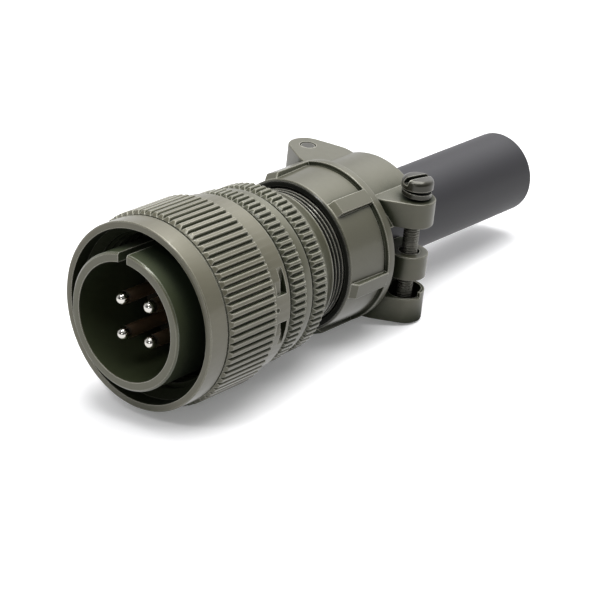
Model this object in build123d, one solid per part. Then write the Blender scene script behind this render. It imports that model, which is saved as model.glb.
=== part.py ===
from build123d import *
import math
import os

# A straight circular plug with four pins, a threaded coupling nut and a two-saddle cable clamp.
# Sizes are in millimetres. The connector's axis is Y: y = 0 is the front face of the plug barrel,
# +Y runs towards the cable, +Z is up and the clamp's ears lie to the sides, along X.
# Names that end in _r are radii. Stations such as nut_front are distances along Y.

# Clearances between pieces
running_gap = 0.05        # radial, where one piece turns or slides on another
seat_gap = 0.05           # radial, between pieces that are assembled once
screw_gap = 0.1           # radial, round a screw in a plain hole
passage_gap = 0.15        # radial, between the clamp body and the rubber tube
rubber_gap = 0.3          # between a clamp saddle and the rubber tube at rest
nut_end_gap = 0.35        # between the nut and the knurled flange behind it
saddle_end_gap = 0.4      # between a saddle and the clamp body's rim
coil_gap = 0.02           # between a spring washer's ends and what they rest on

# Edges
edge_chamfer = 0.35
fine_chamfer = 0.15

# Knurls
knurl_depth = 0.62
knurl_count = 76
nut_crest_share = 0.5     # flat part of a ridge on the nut, as a share of the pitch
ring_crest_share = 0.42   # the same on the two shells
ridge_front = 0.6         # length of the sloped front end of a ridge
ridge_rear = 0.15         # chamfer at its rear end
groove_depth = 0.3        # depth of the groove in front of a knurl, below the ridges' roots

# Front shell: barrel, journal for the nut, knurled flange, smooth land and threaded neck
barrel_r = 12.47
barrel_wall = 1.72
keyway_width = 2.0
keyway_length = 13.0
insert_face = 16.4        # floor of the mating cavity
insert_nose = 1.2         # length of the insert's narrow front end
insert_step = 0.85        # radial step that the inserts seat on
journal_front = 16.8
journal_rise = 1.83
flange_front = 24.85
flange_groove = 0.95      # length of the plain step in front of the flange's knurl
flange_length = 4.55
flange_rise = 0.55        # height of the knurl above the land
land_length = 2.35
neck_wall = 2.0
land_wall = 4.15          # from the insert's bore to the land

barrel_bore_r = barrel_r - barrel_wall
insert_bore_r = barrel_bore_r + insert_step
journal_r = barrel_r + journal_rise
neck_r = insert_bore_r + neck_wall
land_r = insert_bore_r + land_wall
flange_crest_r = land_r + flange_rise
insert_stop = insert_face + insert_nose
flange_rear = flange_front + flange_length
shell_joint = flange_rear + land_length     # the back shell seats here on the front shell

# Coupling nut: flat lip, smooth band, knurl and a collar with the wire ring's window
nut_front = 3.3           # the nut's lip lies behind the barrel's front face
nut_wall = 3.35           # from the nut's bore to the crest of its knurl
nut_lip = 1.3             # radial width of the flat lip
nut_mouth = 3.0           # depth of the plain counterbore behind the lip
nut_band = 4.3            # length of the smooth band
nut_groove = 0.3          # width of the groove between the band and the knurl
nut_collar = 4.8          # length of the collar behind the knurl
collar_step = 0.45        # radial, from the band to the collar
relief_depth = 0.55
relief_width = 1.6
relief_lead = 0.8         # the relief starts this far in front of the journal
window_setback = 1.95     # from the nut's rear face to the front of the slot
window_width = 1.15
window_wall = 0.7         # left between the slot's floor and the nut's bore
flat_depth = 0.75
flat_length = 1.4
pad_width = 5.0           # bridge left standing in the middle of the slot
feed_length = 2.0         # opening beside the bridge, where the ring wire goes in
dimple_r = 0.55

nut_bore_r = journal_r + running_gap
nut_crest_r = nut_bore_r + nut_wall
nut_band_r = nut_crest_r - knurl_depth
nut_lip_r = nut_band_r - nut_lip
nut_collar_r = nut_band_r - collar_step
nut_rear = flange_front - nut_end_gap
band_rear = nut_front + nut_band
nut_knurl_rear = nut_rear - nut_collar
relief_front = journal_front - relief_lead
window_front = nut_rear - window_setback
window_rear = window_front + window_width

# Wire ring that holds the nut
ring_wire_r = 0.5
ring_gap_deg = 14.0
wire_y = window_front + window_width / 2

# Inserts and contacts
contact_spacing = 6.5
contact_drop = 0.5        # the four contacts' centre lies below the axis
contact_r = 1.18
contact_tip = 2.0         # how far the tips lie behind the barrel's front face
contact_body_r = 1.4      # thicker part of a contact, held in the front insert
contact_body_proud = 0.1  # height of that part above the insert's face
shoulder_r = 1.75
shoulder_depth = 7.6      # from the insert's face to the contacts' shoulders
shoulder_length = 2.8
cup_r = 1.6
cup_bore_r = 1.15
cup_reach = 5.2           # length of a solder cup behind the rear insert
cup_depth = 5.0
cup_opening = 3.6         # length of the cut-away half of a solder cup
rear_insert_length = 9.2
snap_ring_width = 1.0
snap_ring_depth = 0.75
neck_lip = 1.4            # the neck's length behind the snap ring

shoulder_front = insert_face + shoulder_depth
shoulder_rear = shoulder_front + shoulder_length
insert_joint = shoulder_front + shoulder_length / 2     # the two inserts meet here
insert_rear = insert_joint + rear_insert_length
neck_rear = insert_rear + snap_ring_width + neck_lip
cup_rear = insert_rear + cup_reach

# Seal between the two shells
seal_wire_r = 0.48
seal_offset = 1.1

# Back shell: knurled grip, cone, cylindrical end and the thread that the clamp screws on
grip_rise = 0.2           # height of its knurl above the front shell's land
grip_groove = 0.45        # length of the plain step in front of its knurl
grip_length = 3.65
grip_bevel = 0.7
cone_length = 2.95        # from the neck's rear end to the cone's small end
cone_rise = 0.65          # height of the cone's small end above the thread's crest
rear_thread_r = 12.7
rear_thread_depth = 0.65
back_wall = 2.0           # from the back shell's bore to the thread's crest
socket_gap = 0.5          # along the axis, behind the front shell's neck

grip_crest_r = land_r + grip_rise
grip_rear = shell_joint + grip_length
cone_rear = neck_rear + cone_length
cone_rear_r = rear_thread_r + cone_rise
back_bore_r = rear_thread_r - back_wall

# Clamp body: a ribbed barrel with a rim and two arms that end in ears
open_thread = 3.75        # length of thread that shows in front of the clamp
socket_depth = 8.7
socket_floor = 1.2
rim_length = 2.0
rim_groove = 0.5
panel_wall = 1.7          # from the thread's crest to the panels between the ribs, at their front
panel_rise = 0.3          # how much a panel's radius grows towards the rim
rib_height = 0.7          # above the rear of the panels, level with the rim
rib_width = 3.0
rib_angle = 55.0          # middle rib of the upper three, from the +X side, before the clamp is rolled
rib_step = 62.5           # between neighbouring ribs of a group of three
rib_ramp = 1.5            # length of a rib's sloped front end
rib_ramp_drop = 1.5       # height that this end falls
arm_width = 2.8
arm_overhang = 3.8        # from the screw's axis to the arm's rear end
body_ear_r = 3.6
body_ear_top = 0.6        # the arm's upper side, above the clamp's middle plane
body_ear_height = 4.7
body_ear_recess_r = 1.95
body_ear_recess = 0.8

clamp_front = cone_rear + open_thread
shell_rear = clamp_front + socket_depth     # rear end of the back shell, seated in the clamp body
rim_front = shell_rear + socket_floor
rim_rear = rim_front + rim_length
panel_r = rear_thread_r + panel_wall
panel_rear_r = panel_r + panel_rise
rib_r = panel_rear_r + rib_height

# Rubber tube
tube_r = 7.94
tube_bore_r = 5.55
tube_length = 63.5
tube_inset = 1.5          # from the clamp's front edge to the tube's front end
tube_round = 0.4

tube_front = clamp_front + tube_inset
tube_rear = tube_front + tube_length

# Saddles
dome_step = 1.5           # the dome's radius is this much smaller than the ribs'
saddle_length = 11.5
roof_wall = 2.2
end_wall = 2.2
skirt_wall = 1.36
skirt_drop = 1.6
ear_setback = 4.9         # from a saddle's rear end to its screws' axes
ear_x = 13.1
ear_r = 3.75
ear_root = 7.75           # centre of the wide root of an ear, from the middle of the saddle
plain_ear = 6.4           # underside of the ear under the screw's head
plain_ear_height = 5.0
tapped_ear = 7.8          # inner side of the ear that the screw threads into
tapped_ear_height = 4.95
tapped_recess_r = 3.1
tapped_recess = 2.2
tapped_rim = 1.0          # raised edge behind the screw, on the ear's inner side
saddle_edge = 0.5

dome_r = rib_r - dome_step
arch_r = tube_r + rubber_gap
skirt_half_width = arch_r + skirt_wall
saddle_front = rim_rear + saddle_end_gap
clamp_rear = saddle_front + saddle_length
ear_y = clamp_rear - ear_setback
arm_rear = ear_y + arm_overhang

# Clamp screws and washers
screw_r = 1.5
head_r = 3.0
head_height = 2.05
head_round = 1.0
slot_width = 1.2
slot_depth = 1.1
slot_turn = 14.0          # degrees, from the axis to the slot
washer_r = 2.8
coil_thickness = 1.0
coil_rise = 0.95          # from the coil's lower end to its upper end
coil_turn = 0.95          # length of the coil, in turns
coil_start = 121.0        # degrees, place of the coil's lower end round the screw
screw_end_gap = 0.3       # the screw's end stops this short of the tapped ear's far side

washer_height = coil_thickness + coil_rise + 2 * coil_gap

# The clamp lies rolled about the axis until its lower ear meets the ground
clamp_roll = 7.5

big = tube_length         # larger than any piece is wide, for cutting tools
over = 1.0                # how far a cutting tool reaches past what it cuts


def turned(points):
    """A solid of revolution about the Y axis from its half section, given as (radius, y) points."""
    return revolve(make_face(Polyline(*points, close=True)), Axis.Y)


def ring(inner_r, outer_r, y0, y1):
    return turned([(inner_r, y0), (outer_r, y0), (outer_r, y1), (inner_r, y1)])


def block(x0, x1, y0, y1, z0, z1):
    return Pos((x0 + x1) / 2, (y0 + y1) / 2, (z0 + z1) / 2) * Box(x1 - x0, y1 - y0, z1 - z0)


def pillar(x, y, radius, z0, z1):
    """A round bar parallel to Z."""
    return Pos(x, y, (z0 + z1) / 2) * Cylinder(radius, z1 - z0)


def rod(radius, y0, y1, x=0.0, z=0.0):
    """A round bar parallel to the axis."""
    return Pos(x, (y0 + y1) / 2, z) * Rot(90, 0, 0) * Cylinder(radius, y1 - y0)


def rolled(piece):
    return Rot(0, clamp_roll, 0) * piece


def half_turned(piece):
    return Rot(0, 180, 0) * piece


def knurl(piece, crest_r, crest_share, y0, y1):
    """Cuts straight V grooves round a piece between two stations, leaving flat-topped ridges."""
    pitch_deg = 360 / knurl_count
    root_r = crest_r - knurl_depth
    # The star's points lie outside the blank, whose surface cuts them off to the flat crests.
    point_r = root_r + knurl_depth / (1 - crest_share)
    corners = []
    for tooth in range(knurl_count):
        for offset, reach in ((0, point_r), (0.5, root_r)):
            angle = math.radians((tooth + offset) * pitch_deg)
            corners.append((reach * math.cos(angle), reach * math.sin(angle)))
    star = Pos(0, y1, 0) * Rot(90, 0, 0) * extrude(make_face(Polyline(*corners, close=True)), y1 - y0)
    return piece - (ring(root_r - over, point_r + over, y0, y1) - star)


def knurled_band(crest_r, y0, y1, groove):
    """Outline of a knurled band: a plain groove, the ridges' sloped start, their crest and their end."""
    root_r = crest_r - knurl_depth
    floor_r = root_r - groove_depth
    knurl_front = y0 + groove
    return [
        (floor_r, y0),
        (floor_r, knurl_front),
        (root_r, knurl_front),
        (crest_r, knurl_front + ridge_front),
        (crest_r, y1 - ridge_rear),
        (crest_r - ridge_rear, y1),
        (root_r, y1),
    ]


def front_shell():
    ring_groove_r = journal_r - ring_wire_r
    snap_r = insert_bore_r + snap_ring_depth
    snap_rear = insert_rear + snap_ring_width + seat_gap
    outer = [
        (barrel_bore_r, 0),
        (barrel_r - edge_chamfer, 0),
        (barrel_r, edge_chamfer),
        (barrel_r, journal_front),
        (journal_r - edge_chamfer, journal_front),
        (journal_r, journal_front + edge_chamfer),
        (journal_r, wire_y - ring_wire_r),
        (ring_groove_r, wire_y - ring_wire_r),
        (ring_groove_r, wire_y + ring_wire_r),
        (journal_r, wire_y + ring_wire_r),
        (journal_r, flange_front),
    ]
    flange = knurled_band(flange_crest_r, flange_front, flange_rear, flange_groove)
    seal_y = shell_joint + seal_offset
    seal_groove_r = neck_r - 2 * seal_wire_r
    neck = [
        (land_r, flange_rear),
        (land_r, shell_joint - edge_chamfer),
        (land_r - edge_chamfer, shell_joint),
        (neck_r, shell_joint),
        (neck_r, seal_y - seal_wire_r),
        (seal_groove_r, seal_y - seal_wire_r),
        (seal_groove_r, seal_y + seal_wire_r),
        (neck_r, seal_y + seal_wire_r),
        (neck_r, neck_rear - edge_chamfer),
        (neck_r - edge_chamfer, neck_rear),
    ]
    bore = [
        (insert_bore_r, neck_rear),
        (insert_bore_r, snap_rear),
        (snap_r, snap_rear),
        (snap_r, insert_rear),
        (insert_bore_r, insert_rear),
        (insert_bore_r, insert_stop),
        (barrel_bore_r, insert_stop),
    ]
    shell = turned(outer + flange + neck + bore)
    half_key = keyway_width / 2
    keyway = block(-half_key, half_key, -over, keyway_length, barrel_bore_r - over, barrel_r + over)
    knurl_front = flange_front + flange_groove / 2
    return knurl(shell - keyway, flange_crest_r, ring_crest_share, knurl_front, flange_rear)


def coupling_nut():
    mouth_rear = nut_front + nut_mouth
    outline = [
        (nut_lip_r, nut_front),
        (nut_band_r - fine_chamfer, nut_front),
        (nut_band_r, nut_front + fine_chamfer),
        (nut_band_r, band_rear - fine_chamfer),
        (nut_band_r - fine_chamfer, band_rear),
    ]
    outline += knurled_band(nut_crest_r, band_rear, nut_knurl_rear, nut_groove)
    ring_groove_r = nut_bore_r + ring_wire_r
    outline += [
        (nut_collar_r, nut_knurl_rear),
        (nut_collar_r, nut_rear - fine_chamfer),
        (nut_collar_r - fine_chamfer, nut_rear),
        (nut_bore_r, nut_rear),
        (nut_bore_r, wire_y + ring_wire_r),
        (ring_groove_r, wire_y + ring_wire_r),
        (ring_groove_r, wire_y - ring_wire_r),
        (nut_bore_r, wire_y - ring_wire_r),
        (nut_bore_r, relief_front + relief_width),
        (nut_bore_r + relief_depth, relief_front + relief_width),
        (nut_bore_r + relief_depth, relief_front),
        (nut_bore_r, relief_front),
        (nut_bore_r, mouth_rear + nut_lip_r - nut_bore_r),
        (nut_lip_r, mouth_rear),
    ]
    # Turned half round, so that the blank's seam isn't where the window and its dimple are cut.
    blank = half_turned(turned(outline))
    knurl_front = band_rear + nut_groove / 2
    return knurl(blank, nut_crest_r, nut_crest_share, knurl_front, nut_knurl_rear) - window_cuts()


def window_cuts():
    """The flat, the slot and the two wire openings in the nut's collar, either side of a bridge."""
    flat = nut_collar_r - flat_depth
    flat_front = window_front - flat_length
    slot_floor = nut_bore_r + window_wall
    half_pad = pad_width / 2
    cuts = []
    for z0, z1 in ((half_pad, nut_crest_r), (-nut_crest_r, -half_pad)):
        cuts.append(block(flat, big, flat_front, window_rear, z0, z1))
        cuts.append(block(slot_floor, big, window_front, window_rear, z0, z1))
    for z0 in (half_pad, -half_pad - feed_length):
        cuts.append(block(journal_r / 2, big, window_front, window_rear, z0, z0 + feed_length))
    dimple = Pos(nut_collar_r, flat_front, 0) * Sphere(dimple_r)
    return Compound(cuts) + dimple


def nut_retaining_ring():
    """A wire ring, half in the shell's groove and half in the nut's, with its ends apart."""
    centre_r = journal_r + running_gap / 2
    wire = revolve(
        Pos(centre_r, wire_y, 0) * Circle(ring_wire_r - running_gap),
        Axis.Y,
        360 - ring_gap_deg,
    )
    return Rot(0, -ring_gap_deg / 2, 0) * wire


def contact_places():
    half = contact_spacing / 2
    top = half - contact_drop
    bottom = -half - contact_drop
    return {"a": (-half, top), "b": (half, top), "c": (half, bottom), "d": (-half, bottom)}


def front_insert():
    body_r = insert_bore_r - seat_gap
    nose_r = barrel_bore_r - seat_gap
    insert = turned([
        (0, insert_face),
        (nose_r - edge_chamfer, insert_face),
        (nose_r, insert_face + edge_chamfer),
        (nose_r, insert_stop),
        (body_r, insert_stop),
        (body_r, insert_joint),
        (0, insert_joint),
    ])
    for x, z in contact_places().values():
        insert -= rod(contact_body_r + seat_gap, insert_face - over, insert_joint + over, x, z)
        insert -= rod(shoulder_r + seat_gap, shoulder_front, insert_joint + over, x, z)
    return insert


def rear_insert():
    insert = rod(insert_bore_r - seat_gap, insert_joint, insert_rear)
    for x, z in contact_places().values():
        insert -= rod(cup_r + seat_gap, insert_joint - over, insert_rear + over, x, z)
        insert -= rod(shoulder_r + seat_gap, insert_joint - over, shoulder_rear, x, z)
    return insert


def contact(x, z):
    """A solid pin with a domed tip, a thicker body, a captive shoulder and a solder cup."""
    body_front = insert_face - contact_body_proud
    cup_floor = cup_rear - cup_depth
    section = Polyline(
        (contact_r, contact_tip + contact_r),
        (contact_r, body_front),
        (contact_body_r, body_front),
        (contact_body_r, shoulder_front),
        (shoulder_r, shoulder_front),
        (shoulder_r, shoulder_rear),
        (cup_r, shoulder_rear),
        (cup_r, cup_rear),
        (cup_bore_r, cup_rear),
        (cup_bore_r, cup_floor),
        (0, cup_floor - cup_bore_r / 2),
        (0, contact_tip),
    )
    tip = CenterArc((0, contact_tip + contact_r), contact_r, 270, 90)
    pin = revolve(make_face([section, tip]), Axis.Y)
    reach = cup_r + over
    opened = block(-reach, reach, cup_rear - cup_opening, cup_rear + over, cup_bore_r / 3, reach)
    return Pos(x, 0, z) * (pin - opened)


def insert_retaining_ring():
    """A snap ring that holds the inserts against the step in the bore."""
    inner_r = insert_bore_r - snap_ring_depth
    outer_r = insert_bore_r + snap_ring_depth - seat_gap
    snap = ring(inner_r, outer_r, insert_rear, insert_rear + snap_ring_width)
    gap = snap_ring_width * 2
    return snap - block(-gap, gap, insert_rear - over, cup_rear, -big, 0)


def shell_seal():
    """A rubber ring in the groove at the root of the front shell's rear thread."""
    section = Circle(seal_wire_r - seat_gap / 2)
    return revolve(Pos(neck_r - seal_wire_r, shell_joint + seal_offset) * section, Axis.Y)


def back_shell():
    socket_r = neck_r + seat_gap
    socket_rear = neck_rear + socket_gap
    thread_root_r = rear_thread_r - rear_thread_depth
    grip = knurled_band(grip_crest_r, shell_joint, grip_rear, grip_groove)
    outline = [(socket_r, shell_joint)] + grip + [
        (grip_crest_r - knurl_depth, grip_rear + grip_bevel),
        (cone_rear_r, cone_rear),
        (cone_rear_r, cone_rear + edge_chamfer),
        (thread_root_r, cone_rear + edge_chamfer),
        (thread_root_r, shell_rear - edge_chamfer),
        (thread_root_r - edge_chamfer, shell_rear),
        (back_bore_r, shell_rear),
        (back_bore_r, socket_rear),
        (socket_r, socket_rear),
    ]
    knurl_front = shell_joint + grip_groove / 2
    return knurl(turned(outline), grip_crest_r, ring_crest_share, knurl_front, grip_rear)


def clamp_ribs():
    """Two groups of three lengthwise ribs on the clamp body, each with a sloped front end."""
    sunk = panel_r - over
    profile = make_face(Polyline(
        (sunk, clamp_front + edge_chamfer),
        (rib_r - rib_ramp_drop, clamp_front),
        (rib_r, clamp_front + rib_ramp),
        (rib_r, rim_front),
        (sunk, rim_front),
        close=True,
    ))
    rib = extrude(profile, rib_width / 2, both=True)
    upper = [Rot(0, -rib_angle - rib_step * n, 0) * rib for n in (-1, 0, 1)]
    return upper + [half_turned(rib) for rib in upper]


def clamp_body():
    socket_r = rear_thread_r + seat_gap
    passage_r = tube_r + passage_gap
    body = turned([
        (socket_r + edge_chamfer, clamp_front),
        (panel_r - edge_chamfer, clamp_front),
        (panel_r, clamp_front + edge_chamfer),
        (panel_rear_r, rim_front - rim_groove),
        (panel_rear_r - rim_groove, rim_front - rim_groove / 2),
        (panel_rear_r, rim_front),
        (rib_r, rim_front),
        (rib_r, rim_rear - edge_chamfer),
        (rib_r - edge_chamfer, rim_rear),
        (passage_r, rim_rear),
        (passage_r, shell_rear),
        (socket_r, shell_rear),
        (socket_r, clamp_front + edge_chamfer),
    ])
    for rib in clamp_ribs():
        body += rib
    arm = clamp_arm(passage_r)
    return body + arm + half_turned(arm)


def clamp_arm(passage_r):
    """One side arm with the ear that its screw passes through, on the +X side."""
    z0, z1 = body_ear_top - body_ear_height, body_ear_top
    bar = block(passage_r - 2 * over, passage_r + arm_width, rim_rear - over, arm_rear, z0, z1)
    web = block(passage_r, ear_x, ear_y - body_ear_r, ear_y + body_ear_r, z0, z1)
    arm = bar + web + pillar(ear_x, ear_y, body_ear_r, z0, z1)
    arm -= rod(passage_r, 0, tube_rear)
    arm -= pillar(ear_x, ear_y, screw_r + screw_gap, z0 - over, z1 + over)
    return arm - pillar(ear_x, ear_y, body_ear_recess_r, z1 - body_ear_recess, z1 + over)


def saddle_ear(side, z0, height):
    """A flat ear that narrows smoothly from the saddle's full length to a round end at the screw."""
    root = Pos(side * ear_root, saddle_front + saddle_length / 2) * Circle(saddle_length / 2)
    end = Pos(side * ear_x, ear_y) * Circle(ear_r)
    plan = make_hull(root.edges() + end.edges())
    return Pos(0, 0, z0) * extrude(plan, height)


def saddle():
    """The upper saddle. The lower one is the same casting, turned half round the axis."""
    dome = rod(dome_r, saddle_front, clamp_rear) - block(-big, big, -big, 2 * big, -big, plain_ear)
    dome = fillet(dome.edges().filter_by(GeomType.CIRCLE), saddle_edge)
    skirt_end = plain_ear - skirt_drop
    skirt = block(-skirt_half_width, skirt_half_width, saddle_front, clamp_rear, skirt_end, plain_ear + over)
    casting = dome + skirt
    casting += saddle_ear(1, plain_ear, plain_ear_height)
    casting += saddle_ear(-1, tapped_ear, tapped_ear_height)
    casting -= block(-big, -skirt_half_width, -big, 2 * big, -big, tapped_ear)
    casting -= rod(arch_r, 0, tube_rear)
    core = rod(dome_r - roof_wall, saddle_front + end_wall, clamp_rear - end_wall)
    core &= block(-skirt_half_width + roof_wall, skirt_half_width - roof_wall, 0, tube_rear, 0, big)
    casting -= core
    casting -= pillar(ear_x, ear_y, screw_r + screw_gap, 0, big)
    raised_edge = pillar(-ear_x, ear_y, ear_r, tapped_ear - tapped_rim, tapped_ear)
    casting += raised_edge & block(-big, 0, ear_y, clamp_rear + over, 0, big)
    casting -= pillar(-ear_x, ear_y, screw_r + running_gap, 0, big)
    return casting - pillar(-ear_x, ear_y, tapped_recess_r, 0, tapped_ear + tapped_recess)


def clamp_screw():
    """The screw on the +X side, with its head above the upper saddle's plain ear."""
    bearing = plain_ear + plain_ear_height + washer_height
    tip = -(tapped_ear + tapped_ear_height) + screw_end_gap
    head = pillar(0, 0, head_r, bearing, bearing + head_height)
    head = fillet(head.edges().group_by(Axis.Z)[-1], head_round)
    shank = pillar(0, 0, screw_r, tip, bearing)
    shank = chamfer(shank.edges().group_by(Axis.Z)[0], screw_r / 4)
    slot_floor = bearing + head_height - slot_depth
    slot = Rot(0, 0, -slot_turn) * block(-slot_width / 2, slot_width / 2, -big, big, slot_floor, big)
    return Pos(ear_x, ear_y, 0) * (head + shank - slot)


def lock_washer():
    """A spring washer under the screw's head: one open, left-handed coil of square wire."""
    inner_r = screw_r + screw_gap
    path = Helix(coil_rise / coil_turn, coil_rise, (inner_r + washer_r) / 2, lefthand=True)
    start = Plane(origin=path @ 0, x_dir=(1, 0, 0), z_dir=path % 0)
    coil = sweep(start * Rectangle(washer_r - inner_r, coil_thickness), path, is_frenet=True)
    z0 = plain_ear + plain_ear_height + coil_gap + coil_thickness / 2
    return Pos(ear_x, ear_y, z0) * Rot(0, 0, coil_start) * coil


def cable_bushing():
    """The rubber tube that the cable runs through."""
    tube = ring(tube_bore_r, tube_r, tube_front, tube_rear)
    return fillet(tube.edges().group_by(Axis.Y)[-1], tube_round)


def pieces():
    parts = {
        "front_shell": front_shell(),
        "coupling_nut": coupling_nut(),
        "nut_retaining_ring": nut_retaining_ring(),
        "front_insert": front_insert(),
        "rear_insert": rear_insert(),
        "insert_retaining_ring": insert_retaining_ring(),
        "shell_seal": shell_seal(),
        "back_shell": back_shell(),
        "clamp_body": rolled(clamp_body()),
        "upper_saddle": rolled(saddle()),
        "lower_saddle": rolled(half_turned(saddle())),
        "clamp_screw_right": rolled(clamp_screw()),
        "clamp_screw_left": rolled(half_turned(clamp_screw())),
        "lock_washer_right": rolled(lock_washer()),
        "lock_washer_left": rolled(half_turned(lock_washer())),
        "cable_bushing": cable_bushing(),
    }
    for name, (x, z) in contact_places().items():
        parts["contact_" + name] = contact(x, z)
    return parts


os.makedirs("parts", exist_ok=True)
for node, piece in pieces().items():
    export_step(piece, "parts/" + node + ".step")
    print(node, len(piece.solids()), round(piece.volume, 2))
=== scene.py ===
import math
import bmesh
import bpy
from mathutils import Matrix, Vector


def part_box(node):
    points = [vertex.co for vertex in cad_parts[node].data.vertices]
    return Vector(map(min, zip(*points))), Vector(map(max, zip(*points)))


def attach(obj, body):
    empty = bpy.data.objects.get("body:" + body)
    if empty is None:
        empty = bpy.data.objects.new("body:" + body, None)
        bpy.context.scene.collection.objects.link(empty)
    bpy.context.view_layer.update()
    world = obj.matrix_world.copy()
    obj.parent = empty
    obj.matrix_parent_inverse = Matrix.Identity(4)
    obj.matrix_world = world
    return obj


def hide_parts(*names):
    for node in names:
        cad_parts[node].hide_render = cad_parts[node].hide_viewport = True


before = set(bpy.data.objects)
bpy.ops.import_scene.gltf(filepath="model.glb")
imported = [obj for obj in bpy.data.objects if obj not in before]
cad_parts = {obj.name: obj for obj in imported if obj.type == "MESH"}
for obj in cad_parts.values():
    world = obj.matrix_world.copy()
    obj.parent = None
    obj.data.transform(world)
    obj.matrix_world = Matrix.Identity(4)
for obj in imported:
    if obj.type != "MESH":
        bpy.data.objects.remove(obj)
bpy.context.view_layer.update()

# %% [markdown]
# # A circular connector plug, dressed for the camera
# The plug lies on a pale table: a knurled coupling nut round a keyed barrel with four pins, then
# the shells, a ribbed cable clamp with two saddles, and a long rubber tube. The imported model
# gives every piece its place. This lesson rebuilds the visible pieces as finer meshes in those
# places, one lathe outline or one small set of cuts at a time, and gives each a finish made of
# nodes.
#
# The axis of the plug is Y, with the open end of the barrel at 0 and the cable at the far end.
# All sizes are written in millimetres and turned to Blender's metres where a vertex is made.

MM = 0.001
FULL_TURN = 2 * math.pi
ON_AXIS = 1e-6  # a radius below this lies on the axis
HAIR = 1e-4  # a difference in mm that is too small to matter
PAST = 1  # how far a cut starts outside its piece, in mm


def corners_mm(node):
    """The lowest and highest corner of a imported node, in millimetres."""
    low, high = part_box(node)
    return [v / MM for v in low], [v / MM for v in high]


nut_low, nut_high = corners_mm("coupling_nut")
tube_low, tube_high = corners_mm("cable_bushing")
print("nut from", round(nut_low[1], 2), "to", round(nut_high[1], 2), "mm")
print("tube ends at", round(tube_high[1], 2), "mm")

# %% [markdown]
# ## Helpers for outlines
# Turned parts are outlines spun about the axis. Blender's Screw and Bevel modifiers could do
# that, but a knurl needs its columns of faces at the corners of its own ridges, and a thread
# needs extra rows where the plain parts need none. So the outline's points and the columns'
# angles are plain lists here, which keeps the meshes light. A sharp corner never catches the
# light, so every corner of an outline gets a small arc first.

# %% Softer corners
def eased(outline, radius, steps=3, turned=True):
    """Rounds the corners of a closed outline; short sides get smaller arcs. The outline of a turned
    part is (radius, y), and its points on the axis stay sharp."""
    nearly_straight, share_of_side = 0.15, 0.42
    result = []
    count = len(outline)
    for i in range(count):
        before, here, after = (Vector(outline[(i + k) % count]) for k in (-1, 0, 1))
        to_before, to_after = before - here, after - here
        turn = math.pi - to_before.angle(to_after)
        if turn < nearly_straight or (turned and here.x < ON_AXIS):
            result.append(tuple(here))
            continue
        reach = min(radius * math.tan(turn / 2), share_of_side * to_before.length,
                    share_of_side * to_after.length)
        start, end = here + to_before.normalized() * reach, here + to_after.normalized() * reach
        for k in range(steps + 1):
            t = k / steps
            result.append(tuple(start * (1 - t) ** 2 + here * 2 * t * (1 - t) + end * t ** 2))
    return result


square = [(0, 0), (1, 0), (1, 1), (0, 1)]
soft_square = eased(square, 0.2, turned=False)
print("a square has", len(square), "points, and", len(soft_square), "with soft corners")

# %% Extra rows
def divided(outline, y0, y1, step, outer_than=0.0):
    """Adds rows to the sides of an outline that lie between two stations."""
    margin = 0.1
    result = []
    for i, point in enumerate(outline):
        a, b = Vector(point), Vector(outline[(i + 1) % len(outline)])
        result.append(tuple(a))
        low, high = min(a.y, b.y), max(a.y, b.y)
        outside = low < y0 - margin or high > y1 + margin or min(a.x, b.x) < outer_than
        if outside or high - low < step:
            continue
        pieces = math.ceil((high - low) / step)
        result += [tuple(a.lerp(b, k / pieces)) for k in range(1, pieces)]
    return result


print("the square has", len(divided(square, 0, 1, 0.25)), "points with a row every quarter")

# %% Angles, and a mesh made into an object
def even_angles(count):
    return [FULL_TURN * k / count for k in range(count)]


def quarter_turn(steps):
    """The angles of a quarter circle, both ends included."""
    return [math.pi / 2 * k / steps for k in range(steps + 1)]


def finished(mesh_data, name):
    """Turns a bmesh into an object with outward, smooth faces."""
    bmesh.ops.recalc_face_normals(mesh_data, faces=mesh_data.faces)
    mesh = bpy.data.meshes.new(name)
    mesh_data.to_mesh(mesh)
    mesh_data.free()
    piece = bpy.data.objects.new(name, mesh)
    bpy.context.scene.collection.objects.link(piece)
    for polygon in mesh.polygons:
        polygon.use_smooth = True
    return piece


print("a quarter turn in 3 steps:", [round(math.degrees(a)) for a in quarter_turn(3)], "degrees")

# %% The lathe
def lathe(name, outline, angles, shape=None):
    """Spins a closed outline of (radius, y) points in mm about the Y axis.
    shape(radius, y, angle) may give each point another radius."""
    data = bmesh.new()
    on_axis = {j: data.verts.new((0, y * MM, 0))
               for j, (radius, y) in enumerate(outline) if radius < ON_AXIS}
    columns = []
    for angle in angles:
        column = []
        for j, (radius, y) in enumerate(outline):
            r = shape(radius, y, angle) if shape else radius
            place = (r * math.cos(angle) * MM, y * MM, r * math.sin(angle) * MM)
            column.append(on_axis.get(j) or data.verts.new(place))
        columns.append(column)
    for i, column in enumerate(columns):
        following = columns[(i + 1) % len(columns)]
        for j in range(len(outline)):
            k = (j + 1) % len(outline)
            corners = list(dict.fromkeys((column[j], following[j], following[k], column[k])))
            if len(corners) > 2:
                data.faces.new(corners)
    return finished(data, name)


print("192 columns stand", round(math.degrees(even_angles(192)[1]), 3), "degrees apart")

# %% [markdown]
# ## Helpers for cuts
# Slots, ears and recesses could be modelled face by face, but on curved walls every edge would
# have to be worked out. They are made as in the workshop instead, by taking one solid from
# another with a Boolean modifier. Its manifold solver is quick and leaves closed meshes. A cut
# starts a little outside the piece, by PAST, so that no two faces lie in one plane.
#
# Flat faces beside curved ones are kept flat by marking sharp edges by angle and weighting the
# normals by face area.

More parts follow.
